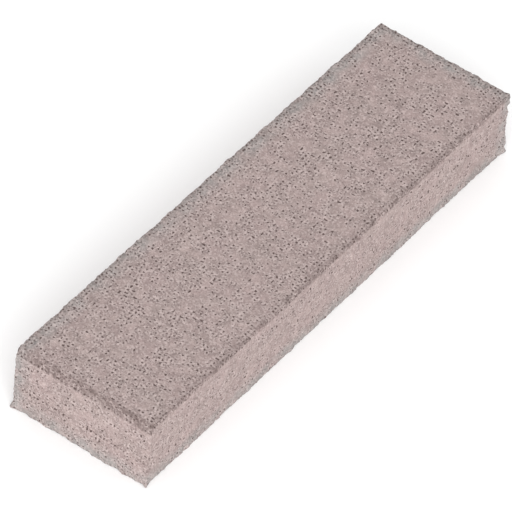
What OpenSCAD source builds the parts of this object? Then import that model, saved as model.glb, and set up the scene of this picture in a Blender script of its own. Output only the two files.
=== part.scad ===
// Sharpening whetstone: one bar of coarse grit held in a fired bond, with no other piece in it.
// The bar is scored across a slab and snapped off, and the score leaves a fine line on each end.
// Millimetres. +X runs along the bar, +Z is up, and the origin is the middle of the resting face.

/* [Bar] */
// Length of the bar from end to end
bar_length = 150; // [75:1:210]
// Width of the honing face
bar_width = 40; // [20:1:75]
// Thickness from the resting face to the honing face
bar_thickness = 20; // [10:0.5:35]

/* [Arrises] */
// Bevel worn along the four edges of the honing face
honing_arris = 0.5; // [0.2:0.1:1.2]
// Bevel along the four edges of the resting face
resting_arris = 0.3; // [0.2:0.1:1.0]
// Bevel down the four upright edges
upright_arris = 0.4; // [0.2:0.1:1.2]

/* [Ends] */
// Height of the score line above the resting face
score_height = 7.6; // [3:0.2:8]
// Width of the score line at the surface
score_width = 0.8; // [0.4:0.1:1.4]
// Depth of the score line into the end
score_depth = 0.4; // [0.1:0.1:1.0]

/* [Worn end] */
// How far the wear reaches over the honing face from the end at -X
worn_run = 1.2; // [0.6:0.1:3]
// How far the wear reaches down the end at -X
worn_drop = 1.9; // [0.6:0.1:3]

/* [Hidden] */
grit_colour = [0.70, 0.63, 0.61];
// The cutting shapes run past the surfaces that they cut by this much.
overrun = 1;
half_length = bar_length / 2;
half_width = bar_width / 2;

// A rectangle with its upper and lower corners cut off at 45 degrees, from y = 0 up.
module bevelled_section(width, height, lower, upper) {
    side = width / 2;
    polygon([
        [-side + lower, 0], [side - lower, 0], [side, lower], [side, height - upper],
        [side - upper, height], [-side + upper, height], [-side, height - upper], [-side, lower]
    ]);
}

// The bar before it is scored: the three sections that bevel its twelve edges, crossed.
module bar_blank() {
    intersection() {
        rotate([90, 0, 90])
            linear_extrude(bar_length, center = true)
                bevelled_section(bar_width, bar_thickness, resting_arris, honing_arris);
        rotate([90, 0, 0])
            linear_extrude(bar_width, center = true)
                bevelled_section(bar_length, bar_thickness, resting_arris, honing_arris);
        translate([0, -half_width, 0])
            linear_extrude(bar_thickness)
                bevelled_section(bar_length, bar_width, upright_arris, upright_arris);
    }
}

// A V groove across the end at +X, at the height where the score stopped and the snap began.
module score_line() {
    translate([half_length, 0, score_height])
        rotate([90, 0, 0])
            linear_extrude(bar_width + 2 * overrun, center = true)
                polygon([
                    [-score_depth, 0],
                    [overrun, -score_width / 2 * (1 + overrun / score_depth)],
                    [overrun, score_width / 2 * (1 + overrun / score_depth)]
                ]);
}

// What the wear takes off the honing face's edge at -X: everything outside one slanting plane.
module worn_edge() {
    rotate([90, 0, 0])
        linear_extrude(bar_width + 2 * overrun, center = true)
            polygon([
                [-half_length + 2 * worn_run, bar_thickness + worn_drop],
                [-half_length - worn_run, bar_thickness + worn_drop],
                [-half_length - worn_run, bar_thickness - 2 * worn_drop]
            ]);
}

// The whole stone: scored at both ends, with one end of the honing face worn off.
module abrasive_bar() {
    color(grit_colour)
        difference() {
            bar_blank();
            for (turn = [0, 180])
                rotate([0, 0, turn])
                    score_line();
            worn_edge();
        }
}

abrasive_bar();
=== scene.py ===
import bmesh
import bpy
import math
import random
from mathutils import Matrix, Quaternion, Vector, noise


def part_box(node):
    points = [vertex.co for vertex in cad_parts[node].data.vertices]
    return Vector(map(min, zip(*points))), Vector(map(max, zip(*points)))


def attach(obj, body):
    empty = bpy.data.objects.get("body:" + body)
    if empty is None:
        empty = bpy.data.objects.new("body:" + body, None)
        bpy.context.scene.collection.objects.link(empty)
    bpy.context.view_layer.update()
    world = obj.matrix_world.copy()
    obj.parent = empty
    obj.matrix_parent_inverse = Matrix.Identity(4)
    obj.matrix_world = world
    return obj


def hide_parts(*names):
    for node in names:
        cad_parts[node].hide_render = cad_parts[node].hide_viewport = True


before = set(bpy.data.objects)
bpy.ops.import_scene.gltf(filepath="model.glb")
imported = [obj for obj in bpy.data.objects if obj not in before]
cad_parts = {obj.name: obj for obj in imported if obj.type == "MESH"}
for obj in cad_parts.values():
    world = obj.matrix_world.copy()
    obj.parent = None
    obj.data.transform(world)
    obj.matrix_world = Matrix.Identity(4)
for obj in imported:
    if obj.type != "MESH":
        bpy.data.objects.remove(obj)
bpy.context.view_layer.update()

mm = 0.001
low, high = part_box("abrasive_bar")
middle = (low + high) / 2

# The body of the stone. Lengths are in metres.
body = {
    "face": 0.55 * mm,  # side of one face of the finished mesh
    "arris": 0.22 * mm,
    "scoreHeight": 7.6 * mm,
    "scoreWidth": 0.8 * mm,
    "scoreDepth": 0.35 * mm,
    "cutsAtOnce": 80,  # an edge is divided into about this many at a time, and then each of those
    "straight": 0.95,  # an edge runs along an axis when this much of its length does
    "whole": 1.3,  # an edge up to about this many faces long isn't divided
    "touching": 0.01 * mm,
    "smoothAngle": 28,  # degrees
}


def pickEdges(piece, wanted):
    bpy.ops.mesh.select_mode(type="EDGE")
    bpy.ops.mesh.select_all(action="DESELECT")
    shape = bmesh.from_edit_mesh(piece.data)
    for edge in shape.edges:
        edge.select = wanted(edge)
    shape.select_flush_mode()
    bmesh.update_edit_mesh(piece.data)


def pickPoints(piece, wanted):
    bpy.ops.mesh.select_mode(type="VERT")
    bpy.ops.mesh.select_all(action="DESELECT")
    shape = bmesh.from_edit_mesh(piece.data)
    for point in shape.verts:
        point.select = wanted(point.co)
    shape.select_flush_mode()
    bmesh.update_edit_mesh(piece.data)


def makeBlank():
    bpy.ops.object.select_all(action="DESELECT")
    bpy.ops.mesh.primitive_cube_add(size=1, location=middle)
    blank = bpy.context.active_object
    blank.name = "grit_bar"
    blank.scale = high - low
    bpy.ops.object.transform_apply(location=True, rotation=True, scale=True)
    bpy.ops.object.mode_set(mode="EDIT")
    bpy.ops.mesh.select_all(action="SELECT")
    bpy.ops.mesh.bevel(offset=body["arris"], segments=2, profile=0.5, affect="EDGES")
    return blank


def cutLevel(height):
    bpy.ops.mesh.select_all(action="SELECT")
    bpy.ops.mesh.bisect(plane_co=(0, 0, height), plane_no=(0, 0, 1))


# Divides the edges that run along an axis between two places, so that each is about one face long.
def divideRun(piece, axis, start, stop):
    side = body["face"]
    rough = math.ceil((stop - start) / side / body["cutsAtOnce"])
    fine = max(1, round((stop - start) / rough / side))

    def runs(edge):
        along = edge.verts[1].co - edge.verts[0].co
        place = (edge.verts[1].co[axis] + edge.verts[0].co[axis]) / 2
        straight = abs(along[axis]) > body["straight"] * along.length
        return straight and body["straight"] * along.length > body["whole"] * side and start < place < stop

    for parts in (rough, fine):
        if parts > 1:
            pickEdges(piece, runs)
            bpy.ops.mesh.subdivide(number_cuts=parts - 1)


def divideBlank(piece):
    half = body["scoreWidth"] / 2
    levels = [low.z + body["scoreHeight"] + step * half for step in (-1, 0, 1)]
    for level in levels:
        cutLevel(level)
    inset = body["arris"]
    divideRun(piece, 2, low.z + inset, levels[0])
    divideRun(piece, 2, levels[2], high.z - inset)
    divideRun(piece, 0, low.x + inset, high.x - inset)
    divideRun(piece, 1, low.y + inset, high.y - inset)


def sinkScore(piece):
    level = low.z + body["scoreHeight"]
    near = body["touching"]
    for end in (-1, 1):
        edge = middle.x + end * (high.x - middle.x)
        pickPoints(piece, lambda co: abs(co.z - level) < near and abs(co.x - edge) < near)
        bpy.ops.transform.translate(value=(-end * body["scoreDepth"], 0, 0))


bar = makeBlank()
divideBlank(bar)
sinkScore(bar)
bpy.ops.object.mode_set(mode="OBJECT")
print("blank divided:", len(bar.data.polygons), "faces")

# Two arrises of the honing face are worn off: how far in over the face, and how far down.
wornArrises = [
    {"side": Vector((-1, 0, 0)), "run": 1.2 * mm, "drop": 1.9 * mm, "shade": 0.36},
    {"side": Vector((0, -1, 0)), "run": 0.4 * mm, "drop": 0.85 * mm, "shade": 0.28},
]


# The line on the honing face where the wear begins, and the way that the worn strip faces.
def wornPlane(arris):
    side = arris["side"]
    half = abs(side.dot(high - middle))
    lip = Vector((middle.x, middle.y, high.z)) + side * (half - arris["run"])
    return lip, (side * arris["drop"] + Vector((0, 0, arris["run"]))).normalized()


def flattenArrises(piece):
    bpy.ops.object.mode_set(mode="EDIT")
    for arris in wornArrises:
        lip, outward = wornPlane(arris)
        along = Vector((0, 0, 1)).cross(outward).normalized()
        pickPoints(piece, lambda co: (co - lip).dot(outward) > 0)
        bpy.ops.transform.resize(
            value=(1, 1, 0),
            orient_type="LOCAL",
            orient_matrix=Matrix((along.cross(outward), along, outward)).transposed(),
            orient_matrix_type="LOCAL",
            constraint_axis=(False, False, True),
            center_override=lip,
        )
    bpy.ops.object.mode_set(mode="OBJECT")


# Where the corners are out of true: the reach of each pull, then how far it goes, in millimetres.
corners = [
    {"at": (-1, 1, -1), "reach": 2.4 * mm, "move": (-0.55, 0.25, 0.0)},
    {"at": (1, -1, -1), "reach": 2.2 * mm, "move": (0.6, -0.5, 0.0)},
    {"at": (1, -1, -1), "reach": 22 * mm, "move": (0.5, -0.3, 0.0)},
    {"at": (1, -1, 1), "reach": 14 * mm, "move": (0.1, 0.1, 0.0)},
    {"at": (-1, -1, -1), "reach": 2.0 * mm, "move": (-0.3, -0.3, 0.0)},
]
cornerGrip = 0.6 * mm  # each pull takes hold of the points this near to its corner


def pullCorners(piece):
    bpy.ops.object.mode_set(mode="EDIT")
    for corner in corners:
        tip = Vector([high[i] if side > 0 else low[i] for i, side in enumerate(corner["at"])])
        pickPoints(piece, lambda co: (co - tip).length < cornerGrip)
        bpy.ops.transform.translate(
            value=Vector(corner["move"]) * mm,
            use_proportional_edit=True,
            proportional_edit_falloff="SHARP",
            proportional_size=corner["reach"],
        )
    bpy.ops.object.mode_set(mode="OBJECT")


# The three sizes of unevenness, each a displacement of the surface.
unevenness = [
    {"name": "slabWave", "scale": 9 * mm, "depth": 2, "strength": 0.34 * mm, "group": ""},
    {"name": "brokenArris", "scale": 2.6 * mm, "depth": 3, "strength": 1.4 * mm, "group": "arrises"},
    {"name": "coarseGrain", "scale": 0.9 * mm, "depth": 2, "strength": 0.22 * mm, "group": ""},
]
grainScatter = {"offset": 0.12 * mm, "seed": 3}
# How far the raggedness of an arris reaches, how near to a corner it changes, and how strong it is.
ragged = {"reach": 0.9 * mm, "near": 2 * mm, "endBase": 1.15, "farUpright": 1.1, "other": 0.6}


# How near a point is to an arris of the bar: 1 on it, 0 further off than reach.
def arrisNearness(co, reach):
    gaps = sorted(min(co[i] - low[i], high[i] - co[i]) for i in range(3))
    return max(0, 1 - gaps[1] / reach)


# How much of an arris gives way: the base of each end most, and one upright at the far end.
def arrisWeakness(co):
    gap = ragged["near"]
    atEnd = abs(co.x - middle.x) > high.x - middle.x - gap
    if atEnd and co.z - low.z < gap:
        return ragged["endBase"]
    if high.x - co.x < gap and co.y - low.y < gap:
        return ragged["farUpright"]
    return ragged["other"]


def roughen(piece):
    group = piece.vertex_groups.new(name="arrises")
    for point in piece.data.vertices:
        weight = arrisNearness(point.co, ragged["reach"])
        if weight > 0:
            group.add([point.index], min(1, weight * arrisWeakness(point.co)), "REPLACE")
    for layer in unevenness:
        pattern = bpy.data.textures.new(layer["name"], type="CLOUDS")
        pattern.noise_scale = layer["scale"]
        pattern.noise_depth = layer["depth"]
        push = piece.modifiers.new(layer["name"], "DISPLACE")
        push.texture = pattern
        push.texture_coords = "LOCAL"
        push.strength = layer["strength"]
        push.mid_level = 0.5
        push.vertex_group = layer["group"]
        bpy.ops.object.modifier_apply(modifier=push.name)
    bpy.ops.object.mode_set(mode="EDIT")
    bpy.ops.mesh.select_all(action="SELECT")
    scatter = grainScatter
    bpy.ops.transform.vertex_random(offset=scatter["offset"], uniform=1, normal=0, seed=scatter["seed"])
    bpy.ops.object.mode_set(mode="OBJECT")


# The resting face is rubbed flat where it stands.
def flattenBase(piece):
    bpy.ops.object.mode_set(mode="EDIT")
    pickPoints(piece, lambda co: co.z < low.z)
    bpy.ops.transform.resize(
        value=(1, 1, 0),
        orient_type="GLOBAL",
        constraint_axis=(False, False, True),
        center_override=(middle.x, middle.y, low.z),
    )
    bpy.ops.object.mode_set(mode="OBJECT")


flattenArrises(bar)
pullCorners(bar)
roughen(bar)
flattenBase(bar)
print("surface roughened")

# Open pores, from small to large. A pore is one face of the mesh or two that touch.
pores = {
    "seed": 11,
    "perSquareMm": {
        "honing": 0.58, "side": 0.32, "end": 0.38, "lowEnd": 0.56, "arris": 3.6, "score": 2.2,
    },
    # The far end is a little more open: farther is what a kind's share gains there over the middle.
    # Each kind's shadow is the painted shade given to the floors of its pores.
    "kinds": [
        {"share": 0.47, "farther": -0.14, "faces": 1, "rim": 0.21 * mm, "depth": 0.06 * mm, "shadow": 0.62},
        {"share": 0.43, "farther": 0.08, "faces": 1, "rim": 0.13 * mm, "depth": 0.06 * mm, "shadow": 0.88},
        {"share": 0.10, "farther": 0.06, "faces": 2, "rim": 0.21 * mm, "depth": 0.08 * mm, "shadow": 0.90},
    ],
    "narrow": {"width": 0.34 * mm, "rim": 0.04 * mm, "depth": 0.03 * mm, "shadow": 0.80},
    "sliver": 0.09 * mm,  # faces narrower than this stay whole
    "cluster": {"size": 2.6 * mm, "swing": 2.6, "least": 0.1, "most": 2.3},
    "paleBand": 2.8 * mm,  # the sides are close grained for this far below the honing face
    "paleShare": 0.3,
    "openStrip": 2.2 * mm,  # the honing face is more open for this far in from its arrises
    "stripRise": 1.7,
    "arrisShare": 0.75,
    "stripShade": 0.2,
    "clump": {"size": 0.8 * mm, "drift": 2.4 * mm, "driftShare": 0.4, "swing": 1.8, "deepest": 0.6},
    "openGrain": 0.85,
    "rimLight": 0.5,
}
# How far the roughened surface strays from the honing face and from the worn strips.
stray = {"honing": 0.3 * mm, "underStrip": 0.25 * mm, "belowStrip": 0.1 * mm}
upright = 0.6  # a face looks along an axis when its normal is over this much that way


# The worn arris that a place lies on, if any.
def wornAt(co):
    for arris in wornArrises:
        lip, outward = wornPlane(arris)
        outside = (co - lip).dot(outward) > -stray["underStrip"]
        if outside and high.z - co.z < arris["drop"] + stray["belowStrip"]:
            return arris
    return None


def isHoning(co):
    return high.z - co.z < stray["honing"] or wornAt(co) is not None


# How far a place on the honing face is into the open strip beside its arrises, up to 1.
def openStrip(co):
    gap = min(co.x - low.x, high.x - co.x, co.y - low.y, high.y - co.y)
    return min(1, max(0, pores["stripRise"] * (1 - gap / pores["openStrip"])))


def poreDensity(centre, normal):
    rate = pores["perSquareMm"]
    level = centre.z - low.z
    onHoning = isHoning(centre)
    if onHoning:
        density = rate["honing"] + (rate["arris"] - rate["honing"]) * pores["arrisShare"] * openStrip(centre)
    elif normal.z < -upright:
        density = rate["honing"]
    elif abs(normal.x) < upright:
        density = rate["side"]
    elif abs(level - body["scoreHeight"]) < body["scoreWidth"] / 2:
        density = rate["score"]
    else:
        density = rate["lowEnd"] if level < body["scoreHeight"] else rate["end"]
    if abs(normal.z) <= upright and high.z - centre.z < pores["paleBand"] and not onHoning:
        density *= pores["paleShare"]
    cluster = pores["cluster"]
    crowding = 1 + cluster["swing"] * noise.noise(centre / cluster["size"])
    return density * min(cluster["most"], max(cluster["least"], crowding))


# The mesh can list its faces in another order each time, so this order rests on their points alone.
def inPointOrder(faces):
    return sorted(faces, key=lambda face: sorted(point.index for point in face.verts))


def faceWidth(face):
    return face.calc_area() / max(edge.calc_length() for edge in face.edges)


# Which faces sink, as one list of face numbers for each kind of pore, and a last one for the pores
# in narrow faces. Pores never touch.
def choosePores(shape):
    random.seed(pores["seed"])
    used = set()
    kinds = pores["kinds"]
    chosen = [[] for kind in kinds + [pores["narrow"]]]
    for face in inPointOrder(shape.faces):
        centre = face.calc_center_median()
        if random.random() > poreDensity(centre, face.normal) * face.calc_area() / mm ** 2:
            continue
        along = (centre.x - middle.x) / (high.x - middle.x)
        shares = [max(0, kind["share"] + kind["farther"] * along) for kind in kinds]
        number = random.choices(range(len(kinds)), shares)[0]
        group = [face]
        while len(group) < kinds[number]["faces"]:
            near = [f for edge in group[-1].edges for f in edge.link_faces if f not in group]
            group.append(random.choice(inPointOrder(near)))
        width = min(faceWidth(f) for f in group)
        if width < pores["narrow"]["width"]:
            number, group = len(kinds), [face]
        points = {point.index for f in group for point in f.verts}
        if width > pores["sliver"] and not points & used:
            used |= points
            chosen[number] += [f.index for f in group]
    return chosen


def openPores(piece):
    bpy.ops.object.mode_set(mode="EDIT")
    bpy.ops.mesh.select_mode(type="FACE")
    shape = bmesh.from_edit_mesh(piece.data)
    shape.faces.index_update()
    shape.verts.index_update()
    chosen = choosePores(shape)
    for kind, faces in zip(pores["kinds"] + [pores["narrow"]], chosen):
        bpy.ops.mesh.select_all(action="DESELECT")
        shape = bmesh.from_edit_mesh(piece.data)
        shape.faces.ensure_lookup_table()
        for index in faces:
            shape.faces[index].select = True
        bmesh.update_edit_mesh(piece.data)
        # An even offset would throw spikes from the narrow corners.
        bpy.ops.mesh.inset(thickness=kind["rim"], depth=-kind["depth"], use_even_offset=False)
    bpy.ops.object.mode_set(mode="OBJECT")
    print("pores opened, in faces:", [len(faces) for faces in chosen])
    return chosen


# Grey dust lies along the arrises that have not been used.
dust = {"reach": 5 * mm, "rise": 1.3, "strength": 0.9, "patch": 3 * mm, "patchiness": 1.2}


def dustNearness(co):
    gaps = {"end": co.x - low.x, "farEnd": high.x - co.x, "front": co.y - low.y, "back": high.y - co.y}
    gaps.update({"base": co.z - low.z, "top": high.z - co.z})
    meeting = [(end, side) for end in ("end", "farEnd") for side in ("back", "base")]
    meeting += [("farEnd", "front"), ("farEnd", "top")]
    meeting += [("back", "top"), ("front", "base"), ("back", "base")]
    nearest = min(max(gaps[u], gaps[v]) for u, v in meeting)
    return min(1, max(0, dust["rise"] * (1 - nearest / dust["reach"])))


def dustAt(co):
    patch = max(0, 1 + dust["patchiness"] * noise.noise(co / dust["patch"]))
    return min(1, dust["strength"] * dustNearness(co) * patch)


# The shade of a place on the honing face, which gathers in clumps on the worn and open strips.
def stripShade(co):
    worn = wornAt(co)
    deepest = worn["shade"] if worn else pores["stripShade"] * openStrip(co)
    clump = pores["clump"]
    clumps = noise.noise(co / clump["size"]) + clump["driftShare"] * noise.noise(co / clump["drift"])
    return min(clump["deepest"], deepest * max(0, 1 + clump["swing"] * clumps))


# What the colour needs to know at each point: the shade in the pores, how broken their rims are,
# how open the grain is and how much dust there is.
surfaceMarks = ["poreShade", "poreRim", "openGrain", "greyDust"]


def markSurface(piece, chosen):
    mesh = piece.data
    for name in surfaceMarks:
        mesh.attributes.new(name, "FLOAT", "POINT")
    shade, rim, openness, grey = [mesh.attributes[name] for name in surfaceMarks]
    for point in mesh.vertices:
        here = point.index
        density = poreDensity(point.co, point.normal) / pores["perSquareMm"]["honing"]
        openness.data[here].value = min(1, pores["openGrain"] * density)
        grey.data[here].value = dustAt(point.co)
        if isHoning(point.co):
            shade.data[here].value = stripShade(point.co)
    floors = set()
    # The floors of the pores get painted shade.
    for kind, faces in zip(pores["kinds"] + [pores["narrow"]], chosen):
        for index in faces:
            for point in mesh.polygons[index].vertices:
                shade.data[point].value = kind["shadow"]
                floors.add(point)
    for edge in mesh.edges:
        for inner, outer in (edge.vertices, reversed(edge.vertices)):
            if inner in floors and outer not in floors:
                rim.data[outer].value = pores["rimLight"]


chosenPores = openPores(bar)
markSurface(bar, chosenPores)
print("mesh:", sum(len(face.vertices) - 2 for face in bar.data.polygons), "triangles")

grit = {
    "stone": (0.326, 0.253, 0.242, 1),
    "warm": (1.006, 0.998, 1.002, 1),
    "cool": (0.988, 1.004, 0.994, 1),
    "dusty": (0.88, 1.03, 1.04, 1),
    # The dark colour of the painted shade in the pores and in the pits of missing grains, and of the dark
    # wear on the worn strips.
    "poreShadeAndWear": (0.070, 0.043, 0.038, 1),
    "crystal": (0.665, 0.56, 0.54, 1),
    "grain": 0.39 * mm,
    "mottle": 4 * mm,
    "tint": 7 * mm,
    "powder": 0.3 * mm,
    "patchOpenness": (0.3, 1),
    # These pairs go from close grain to open grain.
    "grainSpread": (0.11, 0.16),
    "grainTone": (1.09, 0.935),
    "patchTone": (0.13, 0.06),
    "crystalShare": (0.65, 1),
    "missingAbove": (0.97, 0.80),  # a grain whose chance is over this has fallen out
    # These go from low to high.
    "tintNoise": (0.35, 0.65),
    "powderTone": (0.88, 1.12),
    "crystalChance": (0.60, 0.97),
    "crystalMost": 0.5,
    "missingEdge": (0.2, 0.55),  # where the pit of a missing grain starts to rise, and its rim
    "missingShade": 0.8,
    "bump": {"distance": 0.12 * mm, "strength": 0.7, "grain": -0.6, "powder": 0.8},
    "roughness": (0.82, 0.98),
    "specular": 0.3,
}
usualNoise = (0.3, 0.7)  # the noise seldom goes outside these


def addNode(tree, kind, settings=None, inputs=None):
    node = tree.nodes.new(kind)
    for name, value in (settings or {}).items():
        setattr(node, name, value)
    for name, value in (inputs or {}).items():
        if isinstance(value, bpy.types.NodeSocket):
            tree.links.new(value, node.inputs[name])
        else:
            node.inputs[name].default_value = value
    return node


# Takes the values from one pair of limits to another.
def stretch(tree, value, before, after):
    inputs = {"Value": value, "From Min": before[0], "From Max": before[1]}
    inputs.update({"To Min": after[0], "To Max": after[1]})
    return addNode(tree, "ShaderNodeMapRange", {}, inputs).outputs["Result"]


def calculate(tree, operation, first, second):
    return addNode(tree, "ShaderNodeMath", {"operation": operation}, {0: first, 1: second}).outputs[0]


def mixColour(tree, amount, first, second, blend="MIX"):
    settings = {"data_type": "RGBA", "blend_type": blend}
    return addNode(tree, "ShaderNodeMix", settings, {0: amount, 6: first, 7: second}).outputs[2]


def readAttribute(tree, name):
    return addNode(tree, "ShaderNodeAttribute", {"attribute_name": name}).outputs["Fac"]


def addNoise(tree, place, size, settings):
    inputs = {"Vector": place, "Scale": 1 / size}
    inputs.update(settings)
    return addNode(tree, "ShaderNodeTexNoise", {}, inputs).outputs["Fac"]


# Each grain has its own tone, close grain is paler than open, and there are patches and powder.
def grainTone(tree, chance, openness, mottle, powder):
    spread = stretch(tree, openness, (0, 1), grit["grainSpread"])
    tone = calculate(tree, "MULTIPLY", stretch(tree, chance.outputs["Red"], (0, 1), (-1, 1)), spread)
    tone = calculate(tree, "ADD", tone, stretch(tree, openness, (0, 1), grit["grainTone"]))
    patches = stretch(tree, mottle, usualNoise, (-1, 1))
    depth = stretch(tree, openness, grit["patchOpenness"], grit["patchTone"])
    patches = calculate(tree, "MULTIPLY", patches, depth)
    tone = calculate(tree, "MULTIPLY", tone, calculate(tree, "ADD", patches, 1))
    return calculate(tree, "MULTIPLY", tone, stretch(tree, powder, usualNoise, grit["powderTone"]))


# Some grains are pale crystals, and so are the broken rims of the pores.
def crystalAmount(tree, chance, openness, rim):
    crystal = stretch(tree, chance.outputs["Green"], grit["crystalChance"], (0, grit["crystalMost"]))
    crystal = calculate(tree, "MULTIPLY", crystal, stretch(tree, openness, (0, 1), grit["crystalShare"]))
    return calculate(tree, "MAXIMUM", crystal, calculate(tree, "MULTIPLY", rim, chance.outputs["Red"]))


# Other grains have fallen out and left pores too small to be in the mesh, and their pits get painted shade.
def missingAmount(tree, grains, chance, openness):
    rare = stretch(tree, openness, (0, 1), grit["missingAbove"])
    missing = calculate(tree, "GREATER_THAN", chance.outputs["Blue"], rare)
    floor = stretch(tree, grains.outputs["Distance"], grit["missingEdge"], (grit["missingShade"], 0))
    return calculate(tree, "MULTIPLY", missing, floor)


def addGrainBump(tree, shader, grains, powder, missing):
    bump = grit["bump"]
    height = calculate(tree, "MULTIPLY", grains.outputs["Distance"], bump["grain"])
    height = calculate(tree, "ADD", height, calculate(tree, "MULTIPLY", powder, bump["powder"]))
    height = calculate(tree, "SUBTRACT", height, missing)
    inputs = {"Height": height, "Strength": bump["strength"], "Distance": bump["distance"]}
    raised = addNode(tree, "ShaderNodeBump", {}, inputs)
    tree.links.new(raised.outputs["Normal"], shader.inputs["Normal"])


def makeGrit():
    material = bpy.data.materials.new("bonded_grit")
    material.use_nodes = True
    tree = material.node_tree
    shader = tree.nodes["Principled BSDF"]
    place = addNode(tree, "ShaderNodeTexCoord").outputs["Object"]
    shade, rim, openness, grey = [readAttribute(tree, name) for name in surfaceMarks]
    grains = addNode(tree, "ShaderNodeTexVoronoi", {}, {"Vector": place, "Scale": 1 / grit["grain"]})
    chance = addNode(tree, "ShaderNodeSeparateColor", {}, {"Color": grains.outputs["Color"]})
    mottle = addNoise(tree, place, grit["mottle"], {"Detail": 4, "Roughness": 0.6})
    drift = addNoise(tree, place, grit["tint"], {"Detail": 3})
    powder = addNoise(tree, place, grit["powder"], {"Detail": 3})

    # The stone drifts a little from warm to cool, and it is grey where dust lies.
    tint = mixColour(tree, stretch(tree, drift, grit["tintNoise"], (0, 1)), grit["warm"], grit["cool"])
    tint = mixColour(tree, grey, tint, grit["dusty"])
    colour = mixColour(tree, 1.0, grit["stone"], tint, "MULTIPLY")
    colour = mixColour(tree, 1.0, colour, grainTone(tree, chance, openness, mottle, powder), "MULTIPLY")
    colour = mixColour(tree, crystalAmount(tree, chance, openness, rim), colour, grit["crystal"])
    missing = missingAmount(tree, grains, chance, openness)
    # Painted shade in the pores and in the pits of missing grains, and the dark wear on the worn strips.
    colour = mixColour(tree, calculate(tree, "MAXIMUM", shade, missing), colour, grit["poreShadeAndWear"])
    tree.links.new(colour, shader.inputs["Base Color"])

    addGrainBump(tree, shader, grains, powder, missing)
    roughness = stretch(tree, powder, usualNoise, grit["roughness"])
    tree.links.new(roughness, shader.inputs["Roughness"])
    shader.inputs["Specular IOR Level"].default_value = grit["specular"]
    return material


def finishBar(piece):
    piece.data.materials.append(makeGrit())
    bpy.ops.object.select_all(action="DESELECT")
    piece.select_set(True)
    bpy.context.view_layer.objects.active = piece
    bpy.ops.object.shade_smooth_by_angle(angle=math.radians(body["smoothAngle"]))
    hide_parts("abrasive_bar")
    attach(piece, "root")


finishBar(bar)
print("grit applied")

studio = {
    "floor": 4.0,
    "floorColour": (0.97, 0.97, 0.97, 1),
    "floorRoughness": 0.9,
    "world": 0.93,
    "key": {"azimuth": -53, "elevation": 28, "distance": 2.2, "size": 1.8, "watts": 35.5},
}


def makeFloor():
    bpy.ops.object.select_all(action="DESELECT")
    bpy.ops.mesh.primitive_plane_add(size=studio["floor"], location=(middle.x, middle.y, low.z))
    floor = bpy.context.active_object
    floor.name = "floor"
    paper = bpy.data.materials.new("paper")
    paper.use_nodes = True
    shader = paper.node_tree.nodes["Principled BSDF"]
    shader.inputs["Base Color"].default_value = studio["floorColour"]
    shader.inputs["Roughness"].default_value = studio["floorRoughness"]
    floor.data.materials.append(paper)


# A point at a distance from the middle of the bar. Azimuth 0 is on the -Y side, and 90 on the +X side.
def around(azimuth, elevation, distance):
    turn, rise = math.radians(azimuth), math.radians(elevation)
    flat = math.cos(rise)
    return Vector((math.sin(turn) * flat, -math.cos(turn) * flat, math.sin(rise))) * distance


def addSoftbox(name, box):
    place = middle + around(box["azimuth"], box["elevation"], box["distance"])
    bpy.ops.object.light_add(type="AREA", location=place)
    light = bpy.context.active_object
    light.name = name
    light.data.shape = "SQUARE"
    light.data.size = box["size"]
    light.data.energy = box["watts"]
    light.rotation_euler = (middle - light.location).to_track_quat("-Z", "Y").to_euler()
    light.visible_camera = False


def lightRoom():
    world = bpy.data.worlds.new("studio")
    world.use_nodes = True
    background = world.node_tree.nodes["Background"]
    background.inputs["Color"].default_value = (1, 1, 1, 1)
    background.inputs["Strength"].default_value = studio["world"]
    bpy.context.scene.world = world
    addSoftbox("key", studio["key"])
    bpy.context.scene.view_settings.view_transform = "Standard"


view = {
    "azimuth": -58.7,
    "elevation": 45.18,
    "roll": 6.89,
    "distance": 1.3738,
    "lens": 395.6,
    "sensor": 36,
    "aim": (-4.27 * mm, 0.26 * mm, 0.07 * mm),  # from the middle of the bar
}


def placeCamera():
    aim = middle + Vector(view["aim"])
    place = aim + around(view["azimuth"], view["elevation"], view["distance"])
    bpy.ops.object.camera_add(location=place)
    camera = bpy.context.active_object
    camera.data.lens = view["lens"]
    camera.data.sensor_width = view["sensor"]
    level = (aim - camera.location).to_track_quat("-Z", "Y")
    camera.rotation_euler = (level @ Quaternion((0, 0, 1), math.radians(view["roll"]))).to_euler()
    bpy.context.scene.camera = camera


makeFloor()
lightRoom()
placeCamera()
print("studio ready")
